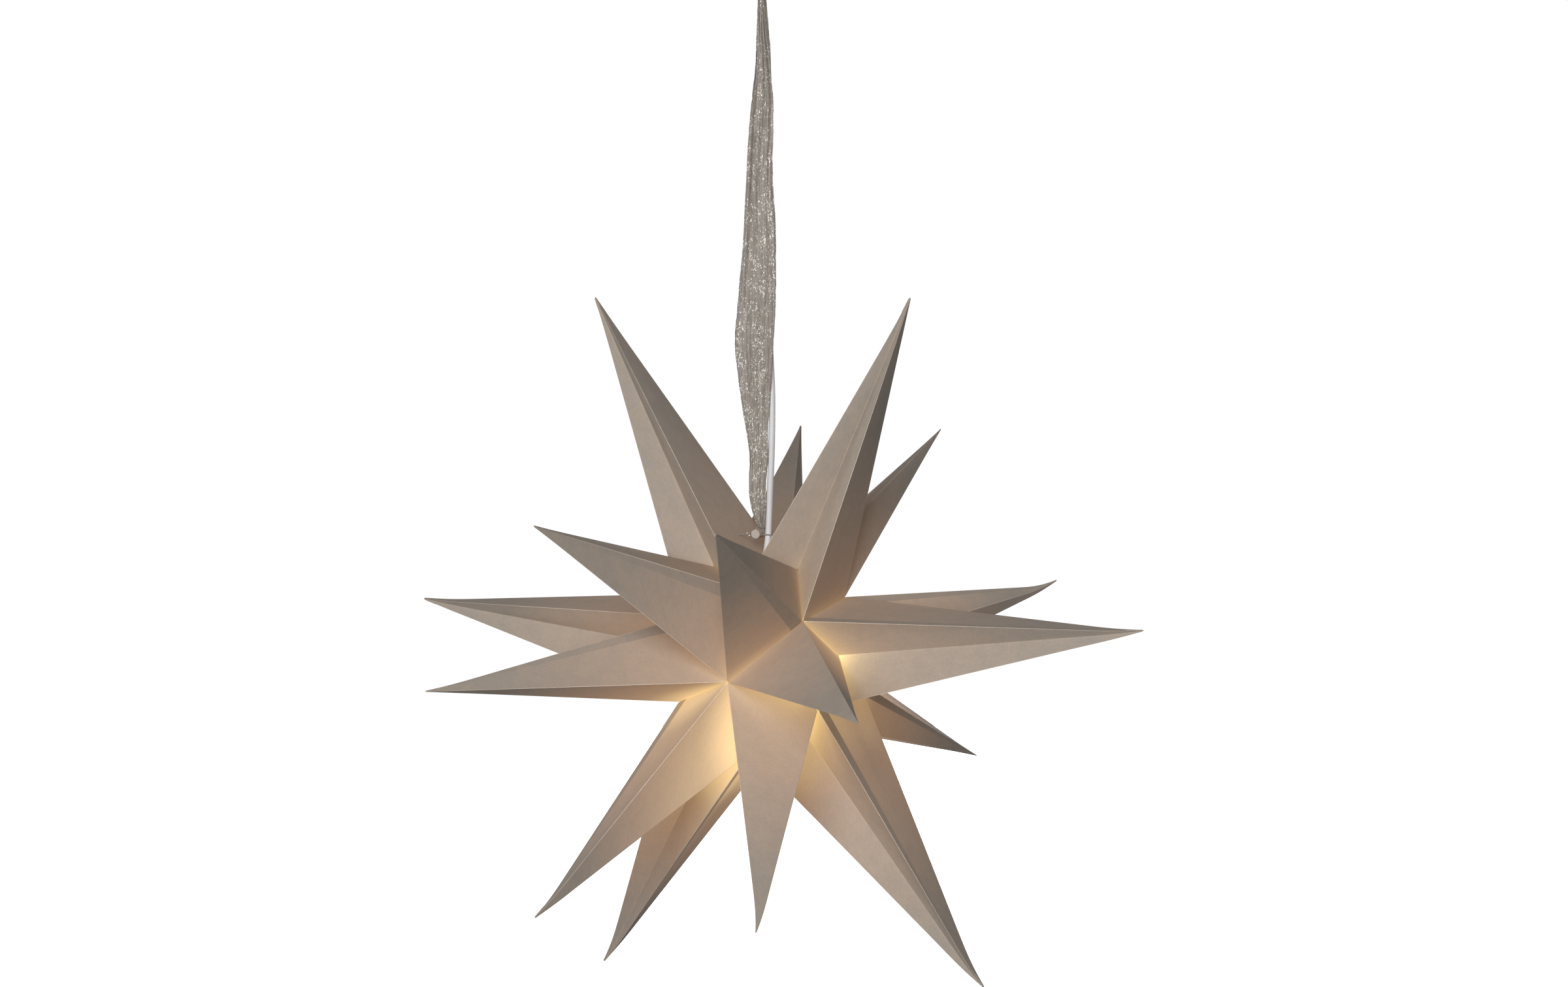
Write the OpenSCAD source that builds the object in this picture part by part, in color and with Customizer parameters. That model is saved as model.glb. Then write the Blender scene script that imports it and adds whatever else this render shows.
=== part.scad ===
// Paper star lantern: eighteen folded card points around a lamp, hung from a ceiling cup by a
// ribbon. Millimetres, +Z up, origin on the ceiling plate's top face, above the hook.
// The star's own axis is level and runs along Y. Six columns of points stand around it, each
// with one point to the front (-Y), one straight out and one to the back. Angles around the
// axis start at +Z and grow towards +X.

/* [Star] */
// Reach of the six points that stand straight out, from the star's centre to the tip
ring_reach = 300; // [250:1:340]
// Reach of the six front points
front_reach = 287; // [240:1:330]
// Reach of the six back points
back_reach = 281; // [240:1:330]
// Angle between a front point and the star's axis, degrees
front_angle = 34.3; // [28:0.1:38]
// Angle between a back point and the star's axis, degrees
back_angle = 33.7; // [28:0.1:38]
// Angle that each of the two top columns takes, degrees; the other four share the rest
top_span = 50; // [44:1:58]
// Distance from the axis to the corners where two columns meet
corner_radius = 63; // [58:0.5:70]
// Distance from the middle plane to those corners
corner_depth = 43.7; // [38:0.1:48]
// Distance from the middle plane to the corner on the axis where six points meet
pole_depth = 78.4; // [72:0.1:86]
// Distance from the middle plane to the inward folds of the straight-out points
fold_depth = 15.4; // [10:0.1:20]
// How far the fold of a wide column stands out past the line between its two corners
fold_rise = 12; // [8:0.5:20]
// Tilt of the hanging star about its own axis, degrees
hang_tilt = 3; // [0:0.5:6]

/* [Card] */
// Thickness of the card
card = 0.4; // [0.3:0.05:0.6]
// Width of the glued tabs that join one point to the next
tab_w = 8; // [5:0.5:10]
// Length trimmed off each corner of a point's base
corner_trim = 2; // [1:0.25:3]
// Width of the overlap that closes each point along one fold
overlap_w = 11; // [7:0.5:13]

/* [Hanging] */
// Height from the star's centre to the ceiling
drop = 590; // [580:1:640]
// Sideways distance from the hook to the star's centre
side_shift = 5; // [0:0.5:8]
// Widest width of the ribbon
ribbon_w = 32; // [25:1:38]
// Thickness of the gathered ribbon
ribbon_t = 1.2; // [0.8:0.1:1.6]
// Radius of the ribbon's knot
knot_r = 4.5; // [4:0.25:5]
// Radius of the peg that the ribbon is tied to
peg_r = 3.6; // [3:0.1:3.8]
// Length of the peg
peg_l = 13; // [11:0.5:16]
// Height of the peg above the bottom of the V between the two top points
peg_rise = 34.8; // [30:0.1:40]
// Distance of the peg to the left of that V's middle
peg_shift = 2.8; // [2.6:0.1:4]
// Diameter of the tie wire
wire_d = 1; // [0.8:0.1:1.2]
// Diameter of the lamp cord
cord_d = 5; // [4.5:0.1:5.1]

/* [Lamp] */
// Distance from the star's centre up to the top of the lamp holder
holder_top = 53; // [50:0.5:54]
// Outer radius of the lamp holder
holder_r = 14; // [13:0.25:16]
// Length of the holder's screwed cap
cap_l = 22; // [20:0.5:24]
// Length of the holder's shell below the cap
shell_l = 26; // [24:0.5:30]
// Wall of the holder's cap and shell
holder_wall = 1.6; // [1.2:0.1:2]
// Radius of the bulb's globe
globe_r = 22.5; // [20:0.5:23]
// Length of the bulb, from its contact to the end of the globe
bulb_l = 77; // [72:0.5:78]
// Radius of the bulb's screw base
base_r = 6.9; // [6.5:0.1:7]
// Length of the bulb's screw base
base_l = 24; // [22:0.5:26]
// Wall of the brass screw sleeve
sleeve_wall = 0.5; // [0.4:0.1:0.6]

/* [Ceiling cup] */
// Outer radius of the cup
cup_r = 35; // [32:0.5:42]
// Height of the cup, from the ceiling down
cup_h = 25; // [24:0.5:30]
// Wall of the cup
cup_wall = 1.8; // [1.4:0.1:2.4]
// Radius of the cup's lower edge
cup_round = 8; // [4:0.5:10]
// Thickness of the plate against the ceiling
plate_t = 3; // [2.5:0.25:4]
// Distance between the plate's two screw holes
screw_spacing = 44; // [40:1:48]
// Radius of the screw holes
screw_hole_r = 2.25; // [2:0.05:2.5]
// Distance from the hook to the hole where the cord comes in
cord_offset = 14; // [14:0.5:16]
// Radius of the hook's ring, to the middle of its wire
hook_r = 9; // [8.5:0.25:10]
// Radius of the hook's wire
hook_wire_r = 1.5; // [1.25:0.05:1.75]

/* [Hidden] */
SIDES = [1, 2, 3, 4, 5, 6];

gap = 0.05;
// How far a cut runs past what it cuts, and a joined shape into what it joins
over = 1;
round_fn = 48;
fine_fn = 24;
card_color = [0.62, 0.56, 0.50];
ribbon_color = [0.60, 0.58, 0.55];
white_color = [0.93, 0.93, 0.92];
steel_color = [0.72, 0.72, 0.72];
wood_color = [0.72, 0.66, 0.58];
insulator_color = [0.9, 0.88, 0.82];
brass_color = [0.85, 0.68, 0.32];
glass_color = [1, 0.93, 0.78];
block_color = [0.88, 0.88, 0.86];

star_at = [side_shift, 0, -drop];

// The column boundaries go round the axis from the top, and each column's middle lies between
wide_span = (360 - 2 * top_span) / 4;
spans = [top_span, wide_span, wide_span, wide_span, wide_span, top_span];
function span_sum(k) = k == 0 ? 0 : span_sum(k - 1) + spans[k - 1];
function edge_angle(k) = span_sum(k) - hang_tilt;
function mid_angle(k) = edge_angle(k - 1) + spans[k - 1] / 2;

// A place from its angle around the axis, distance from the axis and depth along it
function place(angle, out, depth) = [out * sin(angle), depth, out * cos(angle)];

// The half edge of the base has one length all round, so a narrow column's fold stands out more
function chord_half(k) = corner_radius * sin(spans[k - 1] / 2);
function fold_radius(k) =
    corner_radius * cos(spans[k - 1] / 2)
    + sqrt(pow(fold_rise, 2) + pow(corner_radius * sin(wide_span / 2), 2) - pow(chord_half(k), 2));

function corner(k, side) = place(edge_angle(k), corner_radius, side * corner_depth);
function fold(k, side) = place(mid_angle(k), fold_radius(k), side * fold_depth);
function pole(side) = [0, side * pole_depth, 0];
function slant_tip(k, side) =
    let (reach = side < 0 ? front_reach : back_reach, angle = side < 0 ? front_angle : back_angle)
    place(mid_angle(k), reach * sin(angle), side * reach * cos(angle));
function ring_tip(k) = place(mid_angle(k), ring_reach, 0);

// Bases go anticlockwise as seen from the tip
function front_base(k) = [pole(-1), corner(k, -1), fold(k, -1), corner(k - 1, -1)];
function back_base(k) = [pole(1), corner(k - 1, 1), fold(k, 1), corner(k, 1)];
function ring_base(k) = [corner(k, -1), corner(k, 1), fold(k, 1),
                         corner(k - 1, 1), corner(k - 1, -1), fold(k, -1)];

function unit(v) = v / norm(v);
function reversed(list) = [for (i = [len(list) - 1:-1:0]) list[i]];
// The offset whose shares along three directions a, b and c are p, q and r
function offset_by(a, b, c, p, q, r) =
    (p * cross(b, c) + q * cross(c, a) + r * cross(a, b)) / (a * cross(b, c));

// One point: faces folded from its base to its tip, and tabs folded inwards along the base
module card_point(base, tip, seam, before = false) {
    n = len(base);
    next = [for (i = [0:n - 1]) (i + 1) % n];
    last = [for (i = [0:n - 1]) (i + n - 1) % n];
    edge = [for (i = [0:n - 1]) unit(base[next[i]] - base[i])];
    ridge = [for (i = [0:n - 1]) unit(tip - base[i])];
    face_n = [for (i = [0:n - 1]) unit(cross(base[i] - tip, base[next[i]] - tip))];
    tab_n = [for (i = [0:n - 1]) unit(cross(base[next[i]], base[i]))];
    axis = unit(tip - [for (i = [0:n - 1]) 1 / n] * base);
    sink = card * n / ([for (i = [0:n - 1]) 1] * [for (i = [0:n - 1]) face_n[i] * axis]);

    // Each corner gives five points: its trimmed ridge, the fold's two ends and the tab's two
    per = 5;
    function inwards(p) = -unit(p) * tab_w;
    outer = concat(
        [for (i = [0:n - 1]) let (
            a = base[i] + corner_trim * edge[i],
            b = base[next[i]] - corner_trim * edge[i])
            each [base[i] + corner_trim * ridge[i], a, a + inwards(a) + corner_trim * edge[i],
                  b + inwards(b) - corner_trim * edge[i], b]],
        [tip]);
    inner = concat(
        [for (i = [0:n - 1]) let (m = tab_n[i], f = face_n[i])
            each [outer[per * i] + offset_by(face_n[last[i]], f, ridge[i], -card, -card, 0),
                  outer[per * i + 1] + offset_by(f, m, edge[i], -card, -card, 0),
                  outer[per * i + 2] - card * m,
                  outer[per * i + 3] - card * m,
                  outer[per * i + 4] + offset_by(f, m, edge[i], -card, -card, 0)]],
        [tip - sink * axis]);

    t = per * n;
    skin = [for (i = [0:n - 1]) let (r = per * i, s = per * next[i])
        each [[t, r, s], [r, r + 1, r + 4], [r, r + 4, s], [r + 4, r + 1, r + 2], [r + 4, r + 2, r + 3]]];
    rim = [for (u = [0:t - 1]) let (v = (u + 1) % t, w = t + 1)
        each [[v, u, u + w], [v, u + w, v + w]]];
    faces = concat([for (f = skin) reversed(f)], [for (f = skin) f + [t + 1, t + 1, t + 1]],
                   [for (f = rim) reversed(f)]);
    union() {
        polyhedron(concat(outer, inner), faces);
        if (before) overlap(base[seam], tip, face_n[seam], face_n[last[seam]], -edge[last[seam]], true);
        else overlap(base[seam], tip, face_n[last[seam]], face_n[seam], edge[seam], false);
    }
}

// The glued overlap inside a face, wide at the base and narrow at the tip
module overlap(corner, tip, n1, n2, edge, flip) {
    start = 0.06;
    end = 0.9;
    end_w = 1.5;
    ridge = unit(tip - corner);
    across = unit(edge - (edge * ridge) * ridge);
    deep = -2 * card;
    mid = -card / 2;
    function ring(share, w) = let (at = corner + share * (tip - corner))
        [at + offset_by(n1, n2, ridge, mid, mid, 0), at + offset_by(n1, n2, ridge, mid, deep, 0),
         at + w * across + deep * n2, at + w * across + mid * n2];
    sides = [for (i = [0:3]) let (j = (i + 1) % 4) each [[i, j, j + 4], [i, j + 4, i + 4]]];
    ends = [[0, 2, 1], [0, 3, 2], [4, 5, 6], [4, 6, 7]];
    faces = concat(sides, ends);
    polyhedron(concat(ring(start, overlap_w), ring(end, end_w)),
               flip ? [for (f = faces) reversed(f)] : faces);
}

module at_star() translate(star_at) children();
// The frame of the hanging star, with the V between the two top points straight up
module at_v() at_star() rotate([0, -hang_tilt, 0]) children();

// How far the V's walls stand apart, each side, for each millimetre of height
v_slope = ring_reach * sin(top_span / 2) / (ring_reach * cos(top_span / 2) - corner_radius);
peg_z = corner_radius + peg_rise;
wire_y = -1;
wall_x = v_slope * peg_rise;
wire_play = 0.5;
wire_hole_r = wire_d / 2 + wire_play;
wire_cut = 5;
cord_play = 1;
cord_hole_r = cord_d / 2 + cord_play;
cord_cut_down = tab_w + 2 * over;
cord_cut_up = 10;
lamp_x = -corner_radius * sin(hang_tilt);

module wire_hole(side) translate([side * wall_x, wire_y, peg_z]) rotate([0, 90, 0])
    cylinder(h = 2 * wire_cut, r = wire_hole_r, center = true, $fn = fine_fn);
module cord_hole() at_star() translate([lamp_x, 0, corner_radius - cord_cut_down])
    cylinder(h = cord_cut_down + cord_cut_up, r = cord_hole_r, $fn = fine_fn);

module front_point(k) color(card_color) at_star() card_point(front_base(k), slant_tip(k, -1), 1);
module back_point(k) color(card_color) at_star() card_point(back_base(k), slant_tip(k, 1), 1);
module ring_point(k) color(card_color) difference() {
    at_star() card_point(ring_base(k), ring_tip(k), k > 3 ? 4 : 0);
    if (k == 1 || k == 6) {
        cord_hole();
        at_v() wire_hole(k == 1 ? 1 : -1);
    }
}

// The ribbon's outline: share of the way up, share of its widest width, and where its middle
// stands sideways and in depth, all from the peg to the knot
RIBBON = [
    [0.00, 0.14, -1.3, 0.8], [0.03, 0.26, -2.5, -1.0], [0.06, 0.40, -3.0, -1.4], [0.12, 0.42, -3.2, -1.4],
    [0.16, 0.48, -3.2, -1.4], [0.22, 0.64, -4.6, -1.2], [0.27, 0.75, -5.6, -1.0], [0.31, 0.88, -5.6, -0.8],
    [0.38, 1.00, -5.6, -0.6], [0.50, 0.82, -3.0, -0.4], [0.62, 0.70, -2.1, -0.2], [0.74, 0.57, 0.0, 0.0],
    [0.86, 0.36, 0.3, 0.0], [0.97, 0.24, 0.6, 0.0], [1.00, 0.20, 0.2, 0.0]];
peg_at = star_at + [peg_z * sin(-hang_tilt) - peg_shift * cos(hang_tilt), 0,
                    peg_z * cos(hang_tilt) - peg_shift * sin(hang_tilt)];
collar_t = 2;
hook_neck = 3;
wrap_t = 0.6;
wrap_y = 2.3;
wrap_w = 4;
hook_low = cup_h + collar_t + hook_neck + 2 * hook_r;
loop_w = 5;
loop_t = 1;
loop_rise = 16;
hook_curve = hook_r - sqrt(pow(hook_r, 2) - pow(loop_w / 2, 2));
loop_r = hook_wire_r + hook_curve + 2 * gap + loop_t / 2;
knot_z = -hook_low - loop_rise - knot_r;
ribbon_low = peg_at[2] + peg_r + gap;
knot_bite = 0.7;
ribbon_high = knot_z - knot_r * knot_bite;
ribbon_sides = 10;

module ribbon_body() {
    rings = [for (row = RIBBON)
        let (z = ribbon_low + row[0] * (ribbon_high - ribbon_low), half = row[1] * ribbon_w / 2)
        [for (i = [0:ribbon_sides - 1]) let (a = i * 360 / ribbon_sides)
            [row[2] + half * cos(a), row[3] + ribbon_t / 2 * sin(a), z]]];
    tube(rings);
}

// A closed solid through rings of points, capped at both ends
module tube(rings) {
    m = len(rings[0]);
    n = len(rings);
    points = [for (ring = rings) each ring];
    walls = [for (r = [0:n - 2], i = [0:m - 1]) let (j = (i + 1) % m, a = r * m, b = a + m)
        each [[a + i, b + i, b + j], [a + i, b + j, a + j]]];
    start = [for (i = [1:m - 2]) [0, i, i + 1]];
    end = [for (i = [1:m - 2]) [0, i + 1, i] + (n - 1) * m * [1, 1, 1]];
    polyhedron(points, concat(walls, start, end));
}

module ribbon() color(ribbon_color) {
    ribbon_body();
    // the turn around the peg
    translate([peg_at[0], wrap_y, peg_at[2]]) rotate([90, 0, 0]) difference() {
        cylinder(h = wrap_w, r = peg_r + gap + wrap_t, center = true, $fn = round_fn);
        cylinder(h = wrap_w + over, r = peg_r + gap, center = true, $fn = round_fn);
    }
    translate([0, 0, knot_z]) sphere(r = knot_r, $fn = round_fn);
    // the loop over the hook
    translate([0, 0, -hook_low]) rotate([0, -90, 0]) rotate([0, 0, -90])
        rotate_extrude(angle = 180, $fn = round_fn) translate([loop_r, 0])
            square([loop_t, loop_w], center = true);
    for (side = [-1, 1]) translate([0, side * loop_r, -hook_low - (loop_rise + knot_r) / 2])
        cube([loop_w, loop_t, loop_rise + knot_r], center = true);
}

module peg() color(wood_color) at_v() translate([-peg_shift, 0, peg_z]) difference() {
    rotate([90, 0, 0]) cylinder(h = peg_l, r = peg_r, center = true, $fn = round_fn);
    translate([0, wire_y, 0]) rotate([0, 90, 0])
        cylinder(h = 2 * (peg_r + over), r = wire_d / 2 + gap, center = true, $fn = fine_fn);
}

// The tie wire goes through both walls of the V and through the peg, and is bent down inside
wire_past = 4;
wire_reach = wall_x + wire_past;
wire_bend = 5;
bend_r = 0.6 * wire_d;
module tie_wire() color(steel_color) at_v() translate([0, wire_y, peg_z]) {
    rotate([0, 90, 0]) cylinder(h = 2 * wire_reach, r = wire_d / 2, center = true, $fn = fine_fn);
    for (side = [-1, 1]) translate([side * wire_reach, 0, 0]) {
        sphere(r = bend_r, $fn = fine_fn);
        translate([0, 0, -wire_bend]) cylinder(h = wire_bend, r = wire_d / 2, $fn = fine_fn);
    }
}

// The lamp hangs straight below the hole in the bottom of the V
module at_lamp() at_star() translate([lamp_x, 0, holder_top]) children();
module turned(profile) rotate_extrude($fn = round_fn) polygon(profile);

cap_top_r = 7;
shoulder = 10;
shoulder_in = shoulder + 1;
grip_r = 4.5;
grip_l = 6;
grip_bore = cord_d / 2 + gap;
grip_collar = 0.7;
grip_collar_t = 2;
shell_taper = 0.6;
insulator_t = 4;
insulator_up = 2;
sleeve_top = -cap_l - insulator_t + insulator_up;
sleeve_short = 4;
sleeve_r = base_r + 0.15;
contact_r = 2;
contact_z = -cap_l - 3;

module holder_cap() color(white_color) at_lamp() turned([
    [grip_r + gap, 0], [cap_top_r, 0], [holder_r, -shoulder], [holder_r, -cap_l],
    [holder_r - holder_wall, -cap_l], [holder_r - holder_wall, -shoulder_in],
    [cap_top_r - holder_wall, -grip_l], [grip_r + gap, -grip_l]]);
module holder_grip() color(white_color) at_lamp() turned([
    [grip_bore, 0], [grip_r, 0], [grip_r, -grip_l], [grip_r + grip_collar, -grip_l],
    [grip_r + grip_collar, -grip_l - grip_collar_t], [grip_bore, -grip_l - grip_collar_t]]);
module holder_shell() color(white_color) at_lamp() turned([
    [holder_r, -cap_l], [holder_r - shell_taper, -cap_l - shell_l],
    [holder_r - shell_taper - holder_wall, -cap_l - shell_l],
    [holder_r - holder_wall, -cap_l - insulator_t - insulator_up], [holder_r - holder_wall, -cap_l]]);
module contact_base() color(insulator_color) at_lamp() translate([0, 0, sleeve_top])
    cylinder(h = insulator_t, r = holder_r - holder_wall - gap, $fn = round_fn);
module screw_sleeve() color(brass_color) at_lamp() turned([
    [sleeve_r, sleeve_top], [sleeve_r + sleeve_wall, sleeve_top],
    [sleeve_r + sleeve_wall, -cap_l - shell_l + sleeve_short],
    [sleeve_r, -cap_l - shell_l + sleeve_short]]);
module centre_contact() color(brass_color) at_lamp() translate([0, 0, contact_z])
    cylinder(h = sleeve_top - contact_z, r = contact_r, $fn = fine_fn);

// The bulb: screw base up, a neck, and a globe at the bottom
base_tip_r = 3;
base_tip_l = 5;
neck_r = 10;
neck_l = 3;
neck_z = contact_z - base_l - neck_l;
neck_meet = asin(neck_r / globe_r);
globe_z = contact_z - bulb_l + globe_r;
globe_steps = 24;
module bulb() color(glass_color) at_lamp() turned(concat(
    [[0, contact_z], [base_tip_r, contact_z], [base_r, contact_z - base_tip_l],
     [base_r, contact_z - base_l], [neck_r, neck_z]],
    [for (i = [0:globe_steps]) let (a = neck_meet + i * (180 - neck_meet) / globe_steps)
        [i == globe_steps ? 0 : globe_r * sin(a), globe_z + globe_r * cos(a)]]));

// The cord's route, from inside the holder's cap up to the terminal block
CORD = [
    [1.7, 0, -544], [1.7, 0, -536], [1.7, 0, -528], [2, 0.6, -518], [2.9, 1.8, -507], [4, 2.8, -494],
    [4.6, 2.8, -480], [5.3, 3, -460], [6.2, 3, -440], [6.8, 3, -420], [7, 3.2, -400], [6.6, 3.6, -380],
    [5.4, 4, -360], [4, 4.5, -330], [3, 5, -290], [2, 5, -240], [1, 5, -190], [0, 5.5, -140],
    [-1.5, 6, -98], [-1.5, 8, -80], [-1, 10, -64], [-0.5, 12, -48], [0, 14, -34], [0, 14, -25],
    [0, 14, -15]];
cord_sides = 10;
cord_steps = 2;
function curve(p0, p1, p2, p3, t) =
    0.5 * (2 * p1 + (p2 - p0) * t + (2 * p0 - 5 * p1 + 4 * p2 - p3) * t * t
    + (3 * p1 - p0 - 3 * p2 + p3) * t * t * t);
cord_last = len(CORD) - 1;
cord_path = concat(
    [for (i = [0:cord_last - 1], s = [0:cord_steps - 1])
        curve(CORD[max(i - 1, 0)], CORD[i], CORD[i + 1], CORD[min(i + 2, cord_last)], s / cord_steps)],
    [CORD[cord_last]]);
module cord() color(white_color) tube([for (p = cord_path)
    [for (i = [0:cord_sides - 1]) let (a = i * 360 / cord_sides)
        p + cord_d / 2 * [cos(a), sin(a), 0]]]);

// The ceiling cup: a plate with a boss, a cover clamped between the boss and the hook's collar
plate_gap = 0.7;
plate_r = cup_r - cup_wall - plate_gap;
boss_r = 5;
boss_roof = 2;
thread_r = 2;
thread_play = 0.5;
thread_short = 4;
collar_r = 5.5;
cover_rim = 1;
cover_grip_r = 5;
cover_grip_l = 8;
cover_grip_rim = 2;
edge_steps = 6;
module ceiling_plate() color(white_color) difference() {
    union() {
        translate([0, 0, -plate_t]) cylinder(h = plate_t, r = plate_r, $fn = round_fn);
        translate([0, 0, -cup_h + cup_wall])
            cylinder(h = cup_h - cup_wall - plate_t + over, r = boss_r, $fn = round_fn);
    }
    translate([0, 0, -cup_h]) cylinder(h = cup_h - plate_t - boss_roof, r = thread_r + gap, $fn = round_fn);
    for (side = [-1, 1]) translate([side * screw_spacing / 2, 0, -plate_t - over])
        cylinder(h = plate_t + 2 * over, r = screw_hole_r, $fn = round_fn);
}
function arc(cx, cy, r, from, to) = [for (i = [0:edge_steps])
    let (a = from + i * (to - from) / edge_steps) [cx + r * cos(a), cy + r * sin(a)]];
module ceiling_cover() color(white_color) difference() {
    turned(concat(
        [[cup_r - cup_wall, -cover_rim], [cup_r, -cover_rim]],
        arc(cup_r - cup_round, -cup_h + cup_round, cup_round, 0, -90),
        [[0, -cup_h], [0, -cup_h + cup_wall]],
        arc(cup_r - cup_round, -cup_h + cup_round, cup_round - cup_wall, -90, 0)));
    translate([0, 0, -cup_h - over])
        cylinder(h = cup_wall + 2 * over, r = thread_r + thread_play, $fn = round_fn);
    translate([0, cord_offset, -cup_h - over])
        cylinder(h = cup_wall + 2 * over, r = cover_grip_r + gap, $fn = round_fn);
}
module cover_grip() color(white_color) translate([0, cord_offset, -cup_h - collar_t]) turned([
    [grip_bore, 0], [cover_grip_r + cover_grip_rim, 0], [cover_grip_r + cover_grip_rim, collar_t],
    [cover_grip_r, collar_t], [cover_grip_r, cover_grip_l], [grip_bore, cover_grip_l]]);
block_size = [24, 11, 12];
module terminal_block() color(block_color)
    translate([-block_size[0] / 2, cord_offset - block_size[1] / 2, -plate_t - block_size[2]])
        cube(block_size);

hook_turn = 300;
hook_mid = -cup_h - collar_t - hook_neck - hook_r;
module ceiling_hook() color(steel_color) {
    translate([0, 0, -cup_h])
        cylinder(h = cup_h - plate_t - boss_roof - thread_short, r = thread_r, $fn = round_fn);
    translate([0, 0, -cup_h - collar_t]) cylinder(h = collar_t, r = collar_r, $fn = round_fn);
    translate([0, 0, hook_mid + hook_r]) cylinder(h = hook_neck, r = hook_wire_r, $fn = round_fn);
    translate([0, 0, hook_mid]) rotate([90, 0, 0]) rotate([0, 0, 90])
        rotate_extrude(angle = hook_turn, $fn = round_fn) translate([hook_r, 0])
            circle(r = hook_wire_r, $fn = round_fn);
    translate([0, 0, hook_mid]) rotate([90, 0, 0]) rotate([0, 0, 90 + hook_turn])
        translate([hook_r, 0, 0]) sphere(r = hook_wire_r, $fn = round_fn);
}

for (k = SIDES) front_point(k);
for (k = SIDES) ring_point(k);
for (k = SIDES) back_point(k);
ribbon();
peg();
tie_wire();
holder_cap();
holder_grip();
holder_shell();
contact_base();
screw_sleeve();
centre_contact();
bulb();
cord();
ceiling_plate();
ceiling_cover();
ceiling_hook();
cover_grip();
terminal_block();
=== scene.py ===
"""Looks of the paper star lantern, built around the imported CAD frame."""
import math

import bmesh
import bpy
import numpy as np
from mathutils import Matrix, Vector


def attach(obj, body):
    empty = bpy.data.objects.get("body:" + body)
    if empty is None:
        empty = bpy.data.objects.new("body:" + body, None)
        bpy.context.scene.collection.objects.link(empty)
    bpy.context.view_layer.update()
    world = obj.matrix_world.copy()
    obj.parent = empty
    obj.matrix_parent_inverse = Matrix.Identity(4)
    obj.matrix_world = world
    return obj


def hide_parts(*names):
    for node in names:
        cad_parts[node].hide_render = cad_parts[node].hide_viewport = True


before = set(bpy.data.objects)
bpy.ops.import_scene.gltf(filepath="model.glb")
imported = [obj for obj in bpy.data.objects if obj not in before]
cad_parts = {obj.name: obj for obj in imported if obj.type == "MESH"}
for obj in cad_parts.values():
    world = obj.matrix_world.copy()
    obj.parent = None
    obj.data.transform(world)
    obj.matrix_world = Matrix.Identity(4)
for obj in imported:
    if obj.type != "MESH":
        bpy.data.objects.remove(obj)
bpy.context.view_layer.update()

MM = 0.001
rng = np.random.default_rng(7)


def vec(*xyz):
    return np.array(xyz, float)


def unit(v):
    return v / np.linalg.norm(v)


# Camera
AZIMUTH = math.radians(22.511)
ELEVATION = math.radians(10.983)
CAMERA_AT = vec(858.77, -2028.55, -34.44)
LENS, SENSOR = 67.92, 36
camera_data = bpy.data.cameras.new("camera")
camera_data.sensor_width = SENSOR
camera_data.lens = LENS
camera_data.clip_start = 0.05
camera_data.clip_end = 60
camera = bpy.data.objects.new("camera", camera_data)
camera.location = CAMERA_AT * MM
camera.rotation_euler = (math.pi / 2 - ELEVATION, 0, AZIMUTH)
bpy.context.scene.collection.objects.link(camera)
bpy.context.scene.camera = camera
CAMERA_RIGHT = vec(math.cos(AZIMUTH), math.sin(AZIMUTH), 0)
CAMERA_BACK = vec(math.sin(AZIMUTH) * math.cos(ELEVATION), -math.cos(AZIMUTH) * math.cos(ELEVATION),
                  math.sin(ELEVATION))
CAMERA_UP = np.cross(CAMERA_BACK, CAMERA_RIGHT)


# Helpers
def mesh_piece(name, points, faces, materials, indices=None, smooth=True):
    """A mesh from points in millimetres."""
    mesh = bpy.data.meshes.new(name)
    mesh.from_pydata([tuple(p) for p in np.array(points) * MM], [], faces)
    for m in materials:
        mesh.materials.append(m)
    if indices is not None:
        mesh.polygons.foreach_set("material_index", indices)
    mesh.polygons.foreach_set("use_smooth", [smooth] * len(mesh.polygons))
    mesh.update()
    piece = bpy.data.objects.new(name, mesh)
    bpy.context.scene.collection.objects.link(piece)
    return piece


def directions(line):
    """The way a line of points runs at each of them."""
    tangents = np.gradient(line, axis=0)
    return tangents / np.linalg.norm(tangents, axis=1)[:, None]


def ring_faces(rows, sides):
    """Faces between rings of points, with both ends closed."""
    faces = []
    for row in range(rows - 1):
        for i in range(sides):
            j = (i + 1) % sides
            faces.append((row * sides + i, row * sides + j, (row + 1) * sides + j, (row + 1) * sides + i))
    faces.append(tuple(range(sides - 1, -1, -1)))
    faces.append(tuple(range((rows - 1) * sides, rows * sides)))
    return faces


def joined(parts):
    """The points and faces of several parts as one."""
    points, faces = [], []
    for some_points, some_faces in parts:
        faces += [tuple(v + len(points) for v in face) for face in some_faces]
        points += some_points
    return points, faces


def tube(path, radius, sides):
    """Rings round a path, in millimetres; radius is a number or one number a point."""
    path = np.array(path, float)
    radii = np.full(len(path), float(radius)) if np.isscalar(radius) else np.array(radius, float)
    tangents = directions(path)
    side = unit(np.cross(tangents[0], vec(0.3, 1, 0.2)))
    points = []
    for p, t, r in zip(path, tangents, radii):
        side = unit(side - (side @ t) * t)
        other = np.cross(t, side)
        for i in range(sides):
            a = 2 * math.pi * i / sides
            points.append(p + r * (math.cos(a) * side + math.sin(a) * other))
    return points, ring_faces(len(path), sides)


def smooth_path(points, step):
    """A centripetal curve through points, with about one point a step."""
    points = np.array(points, float)
    out = []
    for i in range(len(points) - 1):
        p0, p1 = points[max(i - 1, 0)], points[i]
        p2, p3 = points[i + 1], points[min(i + 2, len(points) - 1)]
        count = max(2, int(np.linalg.norm(p2 - p1) / step))
        for t in np.arange(count) / count:
            out.append(0.5 * (2 * p1 + (p2 - p0) * t + (2 * p0 - 5 * p1 + 4 * p2 - p3) * t * t
                              + (3 * p1 - p0 - 3 * p2 + p3) * t * t * t))
    out.append(points[-1])
    return np.array(out)


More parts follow.
